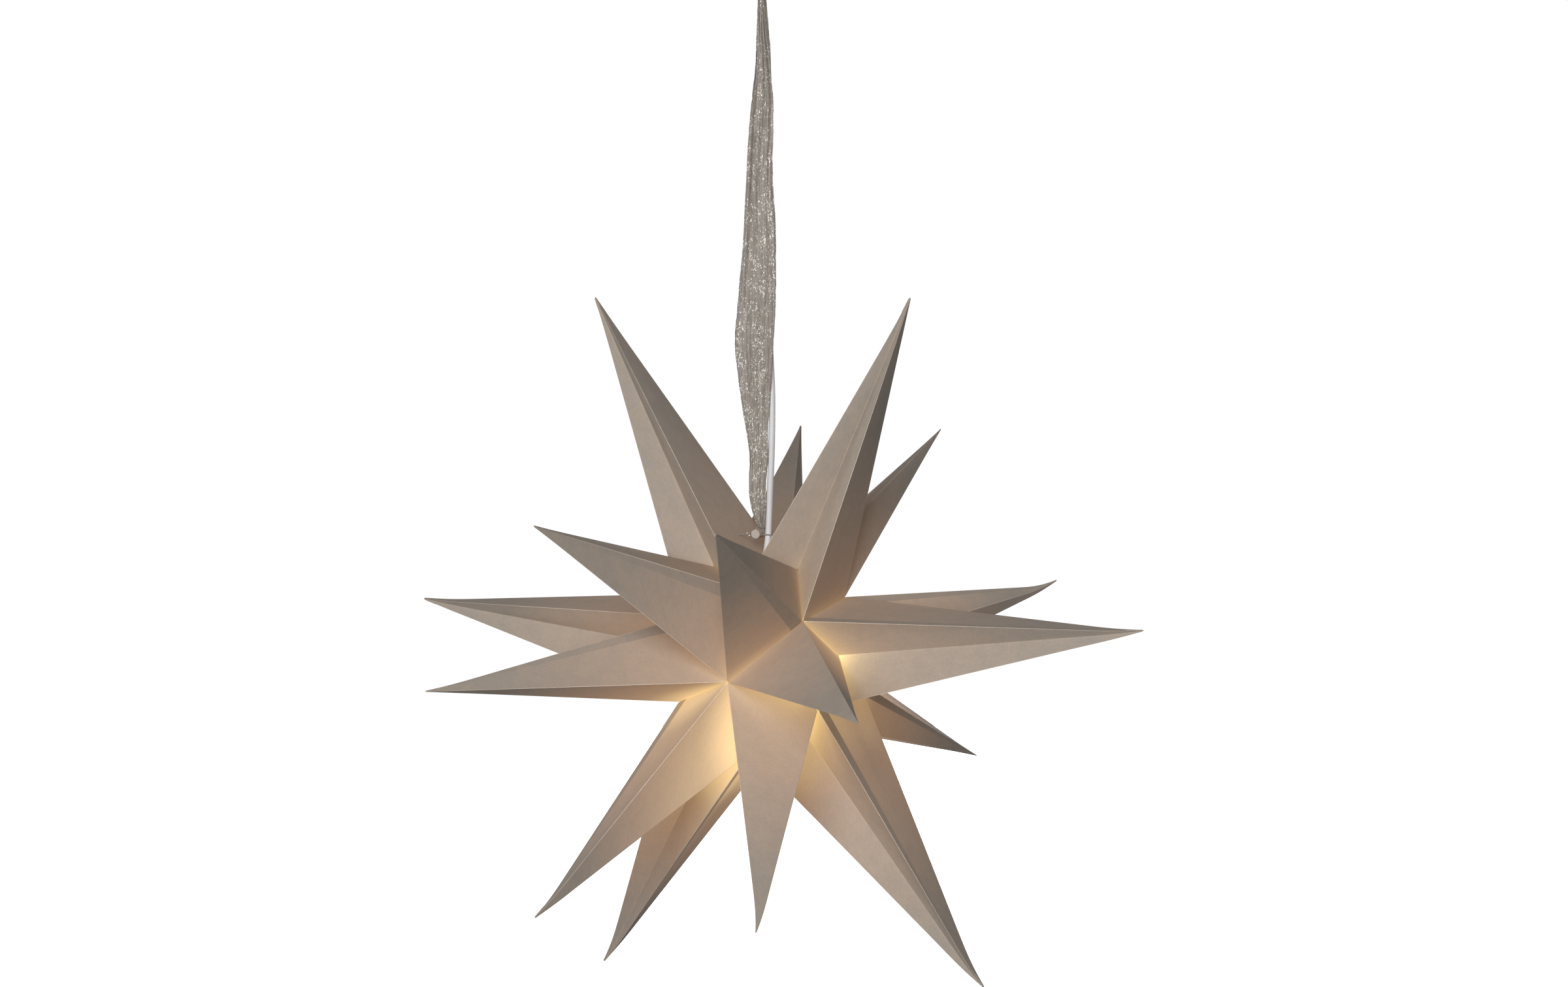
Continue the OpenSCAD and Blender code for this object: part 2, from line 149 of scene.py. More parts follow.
def lathe(profile, at, sides, axis="z"):
    """A turned solid from its (radius, height) outline, closed back to its start."""
    points, faces = [], []
    n = len(profile)
    for i in range(sides):
        a = 2 * math.pi * i / sides
        for r, h in profile:
            if axis == "z":
                points.append(vec(r * math.cos(a), r * math.sin(a), h) + at)
            else:
                points.append(vec(r * math.cos(a), h, -r * math.sin(a)) + at)
    for i in range(sides):
        j = (i + 1) % sides
        for k in range(n):
            m = (k + 1) % n
            if profile[k][0] < 1e-6 and profile[m][0] < 1e-6:
                continue
            faces.append((i * n + k, j * n + k, j * n + m, i * n + m))
    return points, faces


def finish_piece(piece, slot, *nodes):
    if nodes:
        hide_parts(*nodes)
    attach(piece, "root")
    return piece


def clean(piece, angle=40):
    """Merges double points, points the faces outwards and keeps hard edges hard."""
    made = bmesh.new()
    made.from_mesh(piece.data)
    bmesh.ops.remove_doubles(made, verts=made.verts, dist=1e-6)
    bmesh.ops.recalc_face_normals(made, faces=made.faces)
    for edge in made.edges:
        if len(edge.link_faces) == 2:
            edge.smooth = edge.calc_face_angle(0) < math.radians(angle)
    made.to_mesh(piece.data)
    made.free()
    return piece


# Materials
class Nodes:
    """A short way to write a material's nodes."""

    def __init__(self, name):
        self.material = bpy.data.materials.new(name)
        self.material.use_nodes = True
        self.tree = self.material.node_tree
        self.shader = self.tree.nodes["Principled BSDF"]
        self.place = self.add("ShaderNodeTexCoord").outputs["Object"]

    def add(self, kind, **settings):
        node = self.tree.nodes.new(kind)
        for key, value in settings.items():
            setattr(node, key, value)
        return node

    def put(self, socket, value):
        if isinstance(value, bpy.types.NodeSocket):
            self.tree.links.new(value, socket)
        elif value is not None:
            socket.default_value = value

    def set(self, **values):
        for key, value in values.items():
            self.put(self.shader.inputs[key.replace("_", " ")], value)
        return self

    def stretched(self, x, y, z):
        node = self.add("ShaderNodeMapping")
        self.put(node.inputs["Vector"], self.place)
        node.inputs["Scale"].default_value = (x, y, z)
        return node.outputs["Vector"]

    def noise(self, scale, detail=4, roughness=0.55, place=None):
        node = self.add("ShaderNodeTexNoise")
        self.put(node.inputs["Vector"], place or self.place)
        node.inputs["Scale"].default_value = scale
        node.inputs["Detail"].default_value = detail
        node.inputs["Roughness"].default_value = roughness
        return node.outputs["Fac"]

    def cells(self, scale, place):
        node = self.add("ShaderNodeTexVoronoi")
        self.put(node.inputs["Vector"], place)
        node.inputs["Scale"].default_value = scale
        return node.outputs["Color"]

    def span(self, value, low, high, out_low=0.0, out_high=1.0):
        node = self.add("ShaderNodeMapRange", interpolation_type="SMOOTHSTEP")
        self.put(node.inputs["Value"], value)
        for key, number in (("From Min", low), ("From Max", high), ("To Min", out_low), ("To Max", out_high)):
            node.inputs[key].default_value = number
        return node.outputs["Result"]

    def math(self, operation, a, b=None):
        node = self.add("ShaderNodeMath", operation=operation)
        self.put(node.inputs[0], a)
        self.put(node.inputs[1], b)
        return node.outputs[0]

    def mix(self, share, a, b):
        node = self.add("ShaderNodeMix", data_type="RGBA")
        self.put(node.inputs[0], share)
        self.put(node.inputs[6], a if isinstance(a, bpy.types.NodeSocket) else (*a, 1))
        self.put(node.inputs[7], b if isinstance(b, bpy.types.NodeSocket) else (*b, 1))
        return node.outputs[2]

    def scaled(self, color, share):
        node = self.add("ShaderNodeVectorMath", operation="SCALE")
        self.put(node.inputs[0], color if isinstance(color, bpy.types.NodeSocket) else tuple(color))
        self.put(node.inputs["Scale"], share)
        return node.outputs["Vector"]

    def attribute(self, name):
        return self.add("ShaderNodeAttribute", attribute_name=name).outputs["Fac"]

    def vector(self, operation, a, b=None, output="Vector"):
        node = self.add("ShaderNodeVectorMath", operation=operation)
        self.put(node.inputs[0], a)
        self.put(node.inputs[1], b)
        return node.outputs[output]

    def bump(self, height, strength, distance):
        node = self.add("ShaderNodeBump")
        node.inputs["Strength"].default_value = strength
        node.inputs["Distance"].default_value = distance
        self.put(node.inputs["Height"], height)
        self.put(self.shader.inputs["Normal"], node.outputs["Normal"])
        return self


STAR = vec(5, 0, -590)
LAMP = STAR + vec(-3.3, 0, -28.5)
CARD = vec(0.312, 0.271, 0.231)
# The glow's reach from the bulb, and that of its brighter middle, in metres
GLOW_FAR, GLOW_NEAR = 0.235, 0.075
CORE_FAR, CORE_NEAR = 0.104, 0.058
LAMP_DIM, LAMP_BRIGHT = (0.262, 0.130, 0.062), (0.292, 0.190, 0.086)
JOINT_LIGHT = vec(0.62, 0.45, 0.15)


def card_material(name, tint=1.0, glow=1.0, highlighted_ridges=False):
    """Matte taupe card, with the warm lamp behind it fading away from the star's middle."""
    n = Nodes(name)
    fine = n.noise(1150, 6, 0.65)
    blotch = n.noise(90, 4)
    fibre = n.noise(420, 5, 0.6, n.stretched(1, 1.6, 0.45))
    tone = n.math("ADD", n.span(fine, 0.25, 0.75, 0.93, 1.07), n.span(blotch, 0.25, 0.75, -0.045, 0.045))
    tone = n.math("ADD", tone, n.span(fibre, 0.3, 0.7, -0.035, 0.035))
    # the fold strips get a painted highlight: their colour is made lighter along the ridges
    if highlighted_ridges:
        tone = n.math("MULTIPLY", tone, n.math("ADD", n.attribute("painted_highlight"), 1.0))
    warm = n.mix(n.span(blotch, 0.3, 0.7), CARD * tint, CARD * vec(1.02, 0.985, 0.955) * tint)
    # the glow fades out with distance from the bulb, and is stronger below it and along the axis
    away = n.vector("SUBTRACT", n.place, LAMP * MM)
    length = n.vector("LENGTH", away, output="Value")
    parts = n.add("ShaderNodeSeparateXYZ")
    n.put(parts.inputs[0], n.vector("NORMALIZE", away))
    up, along = parts.outputs["Z"], n.math("ABSOLUTE", parts.outputs["Y"])
    ends = n.math("MULTIPLY", along, n.math("SUBTRACT", 0.48, n.math("MULTIPLY", up, 0.45)))
    share = n.add("ShaderNodeMapRange")
    n.put(share.inputs["Value"], length)
    share.inputs["From Min"].default_value = GLOW_FAR
    share.inputs["From Max"].default_value = GLOW_NEAR
    far = n.math("POWER", share.outputs["Result"], 1.2)
    close = n.span(length, CORE_FAR, CORE_NEAR)
    side = n.math("SUBTRACT", 0.60, n.math("MULTIPLY", up, 0.22))
    near = n.math("MULTIPLY", n.math("ADD", side, ends), n.math("ADD", far, n.math("MULTIPLY", close, 0.9)))
    near = n.math("MULTIPLY", near, n.span(fine, 0.2, 0.8, 0.94, 1.06))
    near = n.math("MULTIPLY", near, n.attribute("shine"))
    lamp = n.mix(n.span(near, 0.35, 1.4), LAMP_DIM, LAMP_BRIGHT)
    lit = n.vector("ADD", n.scaled(lamp, near), n.scaled(JOINT_LIGHT, n.attribute("leak")))
    n.set(Base_Color=n.scaled(warm, tone), Roughness=n.span(fine, 0.2, 0.8, 0.70, 0.86),
          Emission_Color=lit, Emission_Strength=glow, Specular_IOR_Level=0.3)
    n.bump(n.math("ADD", fine, n.math("MULTIPLY", fibre, 0.8)), 0.25, 0.0002)
    n.material.cycles.emission_sampling = "NONE"
    return n.material


card_face = card_material("card")
card_lap = card_material("card_lap", 0.97, 0.30)
# the narrow strips along the ridges, with a painted highlight and less of the glow
card_fold = card_material("card_fold", 1.0, 0.55, highlighted_ridges=True)
card_inside = card_material("card_inside", 1.2, 1.3)


def ribbon_material(name, shade=1.0):
    """Glitter organza: greige yarns along the ribbon, with bright specks in clusters."""
    n = Nodes(name)
    yarns = n.noise(900, 3, 0.6, n.stretched(1, 1, 0.10))
    weft = n.noise(1500, 2, 0.5, n.stretched(0.2, 0.2, 1))
    cloud = n.noise(150, 3, 0.6, n.stretched(1, 1, 0.6))
    speck = n.cells(1750, n.stretched(1, 1, 0.6))
    value = n.add("ShaderNodeSeparateColor")
    n.put(value.inputs[0], speck)
    lit = n.math("ADD", value.outputs[0], n.span(cloud, 0.3, 0.7, -0.16, 0.10))
    mask = n.span(lit, 0.82, 0.94)
    tone = n.math("MULTIPLY", n.span(yarns, 0.3, 0.7, 0.74, 1.16), n.span(weft, 0.3, 0.7, 0.93, 1.05))
    cloth = n.scaled(vec(0.240, 0.211, 0.182) * shade, tone)
    n.set(Base_Color=n.mix(mask, cloth, (0.66, 0.64, 0.59)), Metallic=n.math("MULTIPLY", mask, 0.3),
          Roughness=n.span(mask, 0, 1, 0.62, 0.34), Sheen_Weight=0.25, Sheen_Roughness=0.4)
    n.bump(n.math("ADD", yarns, n.math("MULTIPLY", mask, 0.8)), 0.45, 0.0003)
    return n.material


ribbon_cloth = ribbon_material("ribbon_organza")
ribbon_edge = ribbon_material("ribbon_edge", 0.72)


def plastic(name, color, roughness, fine=700, clear=0.0):
    n = Nodes(name)
    marks = n.noise(fine, 4)
    broad = n.noise(35, 2)
    n.set(Base_Color=n.scaled(vec(*color), n.span(broad, 0.3, 0.7, 0.965, 1.02)),
          Roughness=n.span(marks, 0.3, 0.7, roughness - 0.05, roughness + 0.07),
          Coat_Weight=clear, Coat_Roughness=0.2)
    return n.bump(marks, 0.08, 0.0001).material


def metal(name, color, roughness):
    n = Nodes(name)
    lines = n.noise(1600, 4, 0.6, n.stretched(1, 1, 0.1))
    n.set(Base_Color=n.scaled(vec(*color), n.span(lines, 0.3, 0.7, 0.88, 1.06)), Metallic=1.0,
          Roughness=n.span(lines, 0.3, 0.7, roughness - 0.06, roughness + 0.1))
    return n.bump(lines, 0.12, 0.0001).material


def threaded(name, color, roughness, pitch):
    """Metal with a rolled thread round a standing axis."""
    n = Nodes(name)
    wave = n.add("ShaderNodeTexWave", wave_type="BANDS", bands_direction="Z", wave_profile="SIN")
    n.put(wave.inputs["Vector"], n.place)
    wave.inputs["Scale"].default_value = 0.314 / (pitch * MM)
    wave.inputs["Distortion"].default_value = 0.0
    lines = n.noise(900, 3)
    n.set(Base_Color=n.scaled(vec(*color), n.span(lines, 0.3, 0.7, 0.9, 1.05)), Metallic=1.0,
          Roughness=n.span(lines, 0.3, 0.7, roughness - 0.05, roughness + 0.1))
    return n.bump(wave.outputs["Fac"], 0.9, 0.0008).material


cord_plastic = plastic("cord_plastic", (0.57, 0.57, 0.575), 0.42, 900)
white_plastic = plastic("white_plastic", (0.80, 0.80, 0.79), 0.32, 500, 0.15)
block_plastic = plastic("block_plastic", (0.70, 0.70, 0.68), 0.5)
ceramic = plastic("ceramic", (0.72, 0.69, 0.62), 0.35, 400, 0.3)
chrome = metal("hook_chrome", (0.68, 0.68, 0.69), 0.16)
wire_metal = metal("wire_steel", (0.40, 0.38, 0.36), 0.30)
wire_sleeve = plastic("wire_sleeve", (0.27, 0.22, 0.18), 0.6, 1200)
brass = threaded("brass", (0.78, 0.58, 0.27), 0.3, 2.8)


def peg_material(name, color, rings):
    n = Nodes(name)
    grain = n.noise(700, 5, 0.6, n.stretched(1, 0.08, 1))
    pores = n.noise(2600, 3)
    if rings:
        wave = n.add("ShaderNodeTexWave", wave_type="RINGS", rings_direction="Y")
        n.put(wave.inputs["Vector"], n.place)
        wave.inputs["Scale"].default_value = 260
        wave.inputs["Distortion"].default_value = 1.5
        grain = n.math("ADD", n.math("MULTIPLY", wave.outputs["Fac"], 0.25), n.math("MULTIPLY", pores, 0.75))
    tone = n.span(grain, 0.25, 0.75, 0.84, 1.1)
    n.set(Base_Color=n.scaled(vec(*color), tone), Roughness=n.span(pores, 0.3, 0.7, 0.55, 0.75))
    return n.bump(n.math("ADD", grain, pores), 0.3, 0.0002).material


peg_side = peg_material("peg_wood", (0.34, 0.27, 0.22), False)
peg_end = peg_material("peg_end_grain", (0.395, 0.345, 0.305), True)


def bulb_material():
    """Frosted glass, lit from inside."""
    n = Nodes("bulb_glass")
    frost = n.noise(800, 3)
    height = n.add("ShaderNodeSeparateXYZ")
    n.put(height.inputs[0], n.place)
    core = n.span(height.outputs["Z"], -0.655, -0.590, 1.0, 0.25)
    n.set(Base_Color=n.scaled(vec(0.95, 0.88, 0.74), n.span(frost, 0.3, 0.7, 0.97, 1.02)),
          Roughness=n.span(frost, 0.3, 0.7, 0.25, 0.4), Transmission_Weight=0.25,
          Emission_Color=n.scaled(vec(1.0, 0.74, 0.36), core), Emission_Strength=2.0)
    n.material.cycles.emission_sampling = "NONE"
    return n.bump(frost, 0.1, 0.0001).material


bulb_glass = bulb_material()

# Lamp cord
CORD = [
    (1.7, 0, -544), (1.7, 0, -536), (1.7, 0, -528), (2, 0.6, -518), (2.9, 1.8, -507), (4, 2.8, -494),
    (4.6, 2.8, -480), (5.3, 3, -460), (6.2, 3, -440), (6.8, 3, -420), (7, 3.2, -400), (6.6, 3.6, -380),
    (5.4, 4, -360), (4, 4.5, -330), (3, 5, -290), (2, 5, -240), (1, 5, -190), (0, 5.5, -140),
    (-1.5, 6, -98), (-1.5, 8, -80), (-1, 10, -64), (-0.5, 12, -48), (0, 14, -34), (0, 14, -25), (0, 14, -15)]
CORD_R = 2.5
cord_line = smooth_path(CORD, 2.0)
cord = mesh_piece("lamp_cord", *tube(cord_line, CORD_R, 24), [cord_plastic])
finish_piece(cord, "cord", "cord")


def boot(name, low, high, r_low, r_high, ribs):
    """A tapered strain relief round the cord between two heights."""
    inside = [p for p in cord_line if low - 0.1 <= p[2] <= high + 0.1]
    line = smooth_path(inside[::2], 0.5)
    share = (line[:, 2] - line[0, 2]) / (line[-1, 2] - line[0, 2])
    radii = r_low + (r_high - r_low) * share
    radii = radii + 0.16 * np.maximum(0, np.sin(share * ribs * 2 * math.pi))
    radii[0] -= 0.3
    radii[-1] -= 0.3
    return finish_piece(mesh_piece(name, *tube(line, radii, 28), [white_plastic]), "cord")


holder_boot = boot("holder_boot", -543, -522.5, 4.2, 2.9, 5)
cup_boot = boot("cup_boot", -50, -27.5, 2.9, 4.6, 5)

# Card points
TILT = 3
SPANS = [50, 65, 65, 65, 65, 50]
RADIUS, DEPTH, POLE = 63, 43.7, 78.4
FOLD_DEPTH, FOLD_RISE = 15.4, 12
RING, FRONT, BACK = 300, 287, 281
FRONT_ANGLE, BACK_ANGLE = 34.3, 33.7
TRIM, FOLD_TRIM, TAB, THICK = 1.5, 0.4, 8.0, 0.4
LAP_W = {"front": 11.0, "ring": 12.5, "back": 8.0}


def place(angle, out, depth):
    a = math.radians(angle)
    return vec(out * math.sin(a), depth, out * math.cos(a))


def edge_angle(k):
    return sum(SPANS[:k]) - TILT


def mid_angle(k):
    return edge_angle(k - 1) + SPANS[k - 1] / 2


def fold_radius(k):
    half = math.radians(SPANS[k - 1] / 2)
    wide = RADIUS * math.sin(math.radians(65 / 2))
    return RADIUS * math.cos(half) + math.sqrt(FOLD_RISE ** 2 + wide ** 2 - (RADIUS * math.sin(half)) ** 2)


def corner(k, side):
    return place(edge_angle(k), RADIUS, side * DEPTH)


def fold(k, side):
    return place(mid_angle(k), fold_radius(k), side * FOLD_DEPTH)


def slant_tip(k, side):
    reach, angle = (FRONT, FRONT_ANGLE) if side < 0 else (BACK, BACK_ANGLE)
    angle = math.radians(angle)
    return place(mid_angle(k), reach * math.sin(angle), side * reach * math.cos(angle))


def bases(k):
    front_pole, back_pole = vec(0, -POLE, 0), vec(0, POLE, 0)
    return {
        "front": ([front_pole, corner(k, -1), fold(k, -1), corner(k - 1, -1)], slant_tip(k, -1)),
        "ring": ([corner(k, -1), corner(k, 1), fold(k, 1), corner(k - 1, 1), corner(k - 1, -1), fold(k, -1)],
                 place(mid_angle(k), RING, 0)),
        "back": ([back_pole, corner(k - 1, 1), fold(k, 1), corner(k, 1)], slant_tip(k, 1)),
    }


# The overlap's face, and whether it lies beside that face's last ridge
LAPS = {"front": (0, True), "ring": (3, True), "back": (1, False)}

# How each tip stands off its straight place, and how its last part curls: to the camera's
# right and up, in millimetres
LEANS = {
    ("ring", 1): (1.0, 5.2), ("front", 1): (0.6, -2.3), ("back", 1): (-2.5, 0.2),
    ("ring", 2): (0.5, -5.3), ("front", 2): (5.9, -4.0), ("back", 2): (3.7, -2.5),
    ("ring", 3): (3.2, 3.4), ("front", 3): (-3.3, 0.8), ("back", 3): (-0.2, -2.4),
    ("ring", 4): (3.9, -3.0), ("front", 4): (-1.4, -2.3), ("ring", 5): (-0.7, -2.8),
    ("front", 5): (-4.1, 2.5), ("ring", 6): (-2.7, 6.5), ("front", 6): (-0.9, -0.3),
    ("back", 6): (4.4, 1.5), ("back", 4): (1.0, 1.5), ("back", 5): (-1.0, 1.0)}
CURLS = {
    ("ring", 1): (-0.4, 0.6), ("back", 2): (2.0, 4.2), ("ring", 2): (0.0, 1.3), ("ring", 3): (2.4, 0.8),
    ("front", 3): (-1.6, 0.4), ("ring", 4): (-2.2, 0.6), ("front", 4): (-1.8, 0.3), ("ring", 5): (-0.6, 1.4),
    ("back", 3): (1.2, -0.4), ("front", 2): (0.5, -1.0), ("front", 5): (-1.2, 0.3), ("back", 5): (-2.0, 1.5),
    ("back", 4): (1.0, 1.5)}

# Light that comes through along the joints between a straight-out point and its neighbours:
# how strong it is on each face
LEAKS = {
    ("ring", 2, 5): 1.7, ("ring", 2, 4): 0.35, ("ring", 3, 4): 0.9, ("ring", 3, 5): 0.35, ("ring", 4, 4): 0.6,
    ("ring", 4, 5): 0.5, ("front", 2, 1): 0.45, ("front", 2, 2): 0.35, ("front", 1, 1): 0.25,
    ("front", 5, 3): 0.35, ("front", 4, 2): 0.5, ("ring", 1, 5): 0.12, ("ring", 6, 4): 0.12}

# How strong the painted highlight along the crease of a point's ridges is
RIDGE_HIGHLIGHT = {
    ("front", 1): 0.10, ("front", 2): 0.15, ("front", 3): 0.5, ("front", 6): 1.0, ("ring", 1): 1.1,
    ("ring", 3): 1.1}

# How much more or less of the lamp's glow a face shows than its place alone gives
SHINE = {
    ("ring", 1, 4): 0.75, ("ring", 1, 5): 0.88, ("ring", 2, 3): 0.9, ("ring", 2, 4): 0.87,
    ("ring", 2, 5): 0.5, ("ring", 3, 3): 0.86, ("ring", 3, 4): 0.57, ("ring", 3, 5): 0.65,
    ("ring", 4, 4): 1.15, ("ring", 4, 5): 1.6, ("ring", 5, 0): 1.1, ("ring", 5, 4): 0.85,
    ("ring", 5, 5): 1.35, ("ring", 6, 0): 0.9, ("ring", 6, 4): 0.4, ("ring", 6, 5): 0.65,
    ("front", 2, 2): 1.85, ("front", 2, 3): 0.8, ("front", 3, 3): 0.85, ("front", 4, 3): 1.25,
    ("front", 5, 0): 0.93, ("front", 5, 3): 1.1, ("front", 6, 0): 0.92, ("back", 2, 1): 1.35,
    ("back", 3, 1): 0.84}


# The length of a point's faces, and how far a leak of light reaches along them
FACE_L = {"ring": 240.0, "front": 225.0, "back": 220.0}
LEAK_REACH, LONG_REACH = 5.0, 11.0


def leak(row, k, face, u):
    strength = LEAKS.get((row, k, face), 0.10)
    reach = LONG_REACH if row == "ring" and face in (4, 5) else LEAK_REACH
    return strength * math.exp(-u * FACE_L[row] / reach)


# Where the rows of a point stand, from its base at 0 to its tip at 1
U_ROWS = np.concatenate([[0, 0.011, 0.023, 0.037, 0.055], np.linspace(0.08, 0.90, 26),
                         np.linspace(0.915, 0.985, 8), [0.995]])
# Where the two narrow columns beside each ridge end
STRIP, GUARD = 0.42, 0.85
# Columns of faces across a side, without the narrow ones beside its ridges
INNER = 9
LAP_TIP_W = 1.5


def lap_width(row, u, width):
    """The overlap's width, which narrows towards the tip."""
    if u < 0.9:
        lap_w = LAP_W[row] * (1 - u / 0.9) + LAP_TIP_W * u / 0.9
    else:
        lap_w = LAP_TIP_W * (1 - u) / 0.1
    return min(max(lap_w, 0), 0.45 * width)


def column_stops(width, strip, guard, lap_w, lap_last):
    """How far along a side its columns end; lap_w is the overlap's width, or None without one."""
    first, last = [strip, guard], [width - guard, width - strip]
    if lap_w is None:
        inner = [guard + (width - 2 * guard) * t / (INNER + 1) for t in range(1, INNER + 1)]
        return [*first, *inner, *last]
    lap = [guard + (lap_w - guard) * t for t in (0.5, 1.0)]
    inner = [lap_w + (width - guard - lap_w) * t / (INNER - 1) for t in range(1, INNER - 1)]
    stops = [*first, *lap, *inner, *last]
    return [width - s for s in reversed(stops)] if lap_last else stops


def set_attribute(piece, name, values):
    piece.data.attributes.new(name, "FLOAT", "POINT").data.foreach_set("value", values)


def to_camera(right, up):
    """A shift given in the camera's right and up."""
    return right * CAMERA_RIGHT + up * CAMERA_UP


CARD_MATERIALS = [card_face, card_lap, card_fold, card_inside]
FACE_KIND, LAP_KIND, FOLD_KIND, INSIDE_KIND = range(4)
# A tip curls from the first of these on, and is blunted from the second on
CURL_FROM, BLUNT_FROM, BLUNTNESS = 0.86, 0.8, 0.013


class PointShape:
    """One folded card point, from the corners of its base to its tip."""

    def __init__(self, row, k):
        self.row, self.k = row, k
        self.lap_face, self.lap_last = LAPS[row]
        self.base, tip = bases(k)[row]
        self.sides = len(self.base)
        self.curl = to_camera(*CURLS.get((row, k), (0, 0)))
        # the last part's curl counts towards where the tip ends
        self.tip = tip + to_camera(*LEANS.get((row, k), (0, 0))) - self.curl
        self.centre = sum(self.base) / self.sides
        self.ridges = [unit(self.tip - b) for b in self.base]
        after = [*self.base[1:], self.base[0]]
        self.normals = [unit(np.cross(b - self.tip, c - self.tip)) for b, c in zip(self.base, after)]
        self.sags = rng.uniform(-0.9, 0.7, self.sides)
        self.twists = rng.uniform(-0.5, 0.5, self.sides)
        self.phases = rng.uniform(0, 2 * math.pi, self.sides)
        self.convex = [np.cross(b - self.base[i - 1], c - b) @ self.ridges[i] > 0
                       for i, (b, c) in enumerate(zip(self.base, after))]
        self.trims = [TRIM if convex else FOLD_TRIM for convex in self.convex]

    def side_points(self, i, u):
        """The points across side i at height u, the first of them on its ridge."""
        j = (i + 1) % self.sides
        blunt = BLUNTNESS * max(0.0, (u - BLUNT_FROM) / (1 - BLUNT_FROM)) ** 2
        a, b = [c + (self.tip - c) * u + (c - self.centre) * blunt for c in (self.base[i], self.base[j])]
        width = np.linalg.norm(b - a)
        edge = (b - a) / width
        strip = min(STRIP, 0.12 * width)
        guard = min(GUARD, 0.2 * width)
        # the fold's own line, rounded a little
        half = unit(edge + unit(self.base[i - 1] - self.base[i]))
        ridge_point = a + half * (strip * 0.42 * abs(half @ edge))
        if u == 0:
            ridge_point = self.base[i] + self.trims[i] * self.ridges[i]
        spots = [ridge_point]
        lap_w = lap_width(self.row, u, width) if i == self.lap_face else None
        for s in column_stops(width, strip, guard, lap_w, self.lap_last):
            share = s / width
            body = math.sin(math.pi * share) * math.sin(math.pi * min(1, u * 1.15 + 0.05)) ** 0.7
            wave = math.sin(self.phases[i] + 5 * u + 2 * share)
            bulge = (self.sags[i] + self.twists[i] * wave) * body
            spot = a + edge * s
            if u == 0:
                reach = width - self.trims[i] - self.trims[j]
                spot = self.base[i] + edge * (self.trims[i] + share * reach)
            spots.append(spot + self.normals[i] * bulge)
        return spots

    def loop(self, u):
        """The points all round at height u."""
        swing = self.curl * max(0.0, (u - CURL_FROM) / (1 - CURL_FROM)) ** 2
        return [spot + swing for i in range(self.sides) for spot in self.side_points(i, u)]

    def kind(self, i, at, per):
        """Which of the card's materials the faces in one of side i's columns have."""
        if at == 0 and self.convex[i] or at == per - 1 and self.convex[(i + 1) % self.sides]:
            return FOLD_KIND
        if i == self.lap_face and (at >= per - 4 if self.lap_last else at <= 3):
            return LAP_KIND
        return FACE_KIND


def card_point(row, k):
    shape = PointShape(row, k)
    loops = [shape.loop(u) for u in U_ROWS]
    count = len(loops[0])
    per = count // shape.sides
    points = [STAR + spot for loop in loops for spot in loop]
    columns = [divmod(c, per) for c in range(count)]
    leaks = [leak(row, k, i, u) for u in U_ROWS for i, at in columns]
    shines = [SHINE.get((row, k, i), 1.0) if at else 1.0 for u in U_ROWS for i, at in columns]
    faces, kinds = [], []
    for r in range(len(loops) - 1):
        for c, (i, at) in enumerate(columns):
            d = (c + 1) % count
            faces.append((r * count + c, r * count + d, (r + 1) * count + d, (r + 1) * count + c))
            kinds.append(shape.kind(i, at, per))
    # the pinched end
    last = (len(loops) - 1) * count
    points.append(STAR + shape.tip + shape.curl + unit(shape.tip - shape.centre) * 0.1)
    for c in range(count):
        faces.append((last + c, last + (c + 1) % count, len(points) - 1))
        kinds.append(FACE_KIND)
    # the tabs, folded in towards the lamp
    for i in range(shape.sides):
        first, final = i * per + 1, i * per + per - 1
        a, b = loops[0][first], loops[0][final]
        edge = unit(b - a)
        start = len(points)
        points += [STAR + a - unit(a) * TAB + edge * TRIM, STAR + b - unit(b) * TAB - edge * TRIM]
        faces.append((*range(final, first - 1, -1), start, start + 1))
        kinds.append(INSIDE_KIND)
    leaks += [0.0] * (len(points) - len(leaks))
    shines += [1.0] * (len(points) - len(shines))
    piece = mesh_piece(f"{row}_point_{k}_card", points, faces, CARD_MATERIALS, kinds)
    set_attribute(piece, "leak", leaks)
    set_attribute(piece, "shine", shines)
    # the painted highlight along the ridges, fading out towards the tip
    fade = np.repeat(np.clip((0.97 - U_ROWS) / 0.5, 0.0, 1.0), count)
    painted_highlight = np.concatenate([fade, np.zeros(len(points) - len(fade))]) * RIDGE_HIGHLIGHT.get((row, k), 0.85)
    set_attribute(piece, "painted_highlight", painted_highlight)
    made = bmesh.new()
    made.from_mesh(piece.data)
    bmesh.ops.triangulate(made, faces=[f for f in made.faces if len(f.verts) > 4])
    made.to_mesh(piece.data)
    made.free()
    wall = piece.modifiers.new("card wall", "SOLIDIFY")
    wall.thickness = THICK * MM
    wall.offset = -1
    wall.use_even_offset = False
    wall.material_offset = INSIDE_KIND
    wall.material_offset_rim = FACE_KIND
    return finish_piece(piece, "card", f"{row}_point_{k}")


for row in ("front", "ring", "back"):
    for k in range(1, 7):
        card_point(row, k)

